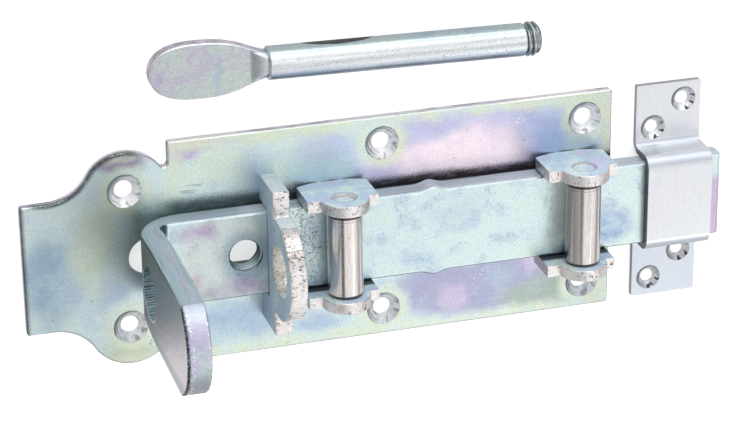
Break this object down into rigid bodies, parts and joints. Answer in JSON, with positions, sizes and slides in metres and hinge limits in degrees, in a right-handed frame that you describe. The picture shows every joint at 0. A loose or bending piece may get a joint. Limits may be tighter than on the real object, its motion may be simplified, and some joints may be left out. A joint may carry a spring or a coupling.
{
  "type": "padlock bolt",
  "caption": "Heavy zinc-plated sliding padlock bolt on a scalloped base plate, with roller bridges, padlock staple, box keeper and a loose screw-in turn handle.",
  "frame": {"origin": "centre of the four screw holes beside the bolt, on the base plate's back (mounting) face", "axes": "+X along the bolt, the way it shoots; +Y across the plate; +Z out of the mounting face"},
  "size_m": [0.2437, 0.1149, 0.0824],
  "materials": {
    "plated_sheet": "blue-passivated zinc plate with soft iridescent patches, satin",
    "plated_bar": "blue-passivated zinc plate, satin, rolled edges",
    "plated_cut_steel": "zinc plate over cut and cast edges, warm grey with dark pits",
    "plated_strip": "bright zinc plate, satin",
    "plated_forging": "zinc plate over a turned and forged surface",
    "polished_roller": "turned and tumbled zinc plate, glossy"
  },
  "bodies": {
    "base": {"base_plate": "plated_sheet", "keeper": "plated_strip", "left_bridge_bottom_ear": "plated_cut_steel", "left_bridge_top_ear": "plated_cut_steel", "left_roller_pin": "plated_bar", "padlock_staple": "plated_cut_steel", "right_bridge_bottom_ear": "plated_cut_steel", "right_bridge_top_ear": "plated_cut_steel", "right_roller_pin": "plated_bar", "turn_handle": "plated_forging"},
    "bolt": {"sliding_bolt": "plated_bar"},
    "left_roller_body": {"left_roller": "polished_roller"},
    "right_roller_body": {"right_roller": "polished_roller"}
  },
  "joints": [
    {"name": "bolt_slide", "type": "slide", "parent": "base", "child": "bolt", "axis": [1, 0, 0], "range_m": [-0.018, 0.034]},
    {"name": "left_roller_spin", "type": "hinge", "parent": "base", "child": "left_roller_body", "pos_m": [-0.05425, 0, 0.0186], "axis": [0, 1, 0], "continuous": true},
    {"name": "right_roller_spin", "type": "hinge", "parent": "base", "child": "right_roller_body", "pos_m": [0.03045, 0, 0.0186], "axis": [0, 1, 0], "continuous": true}
  ]
}
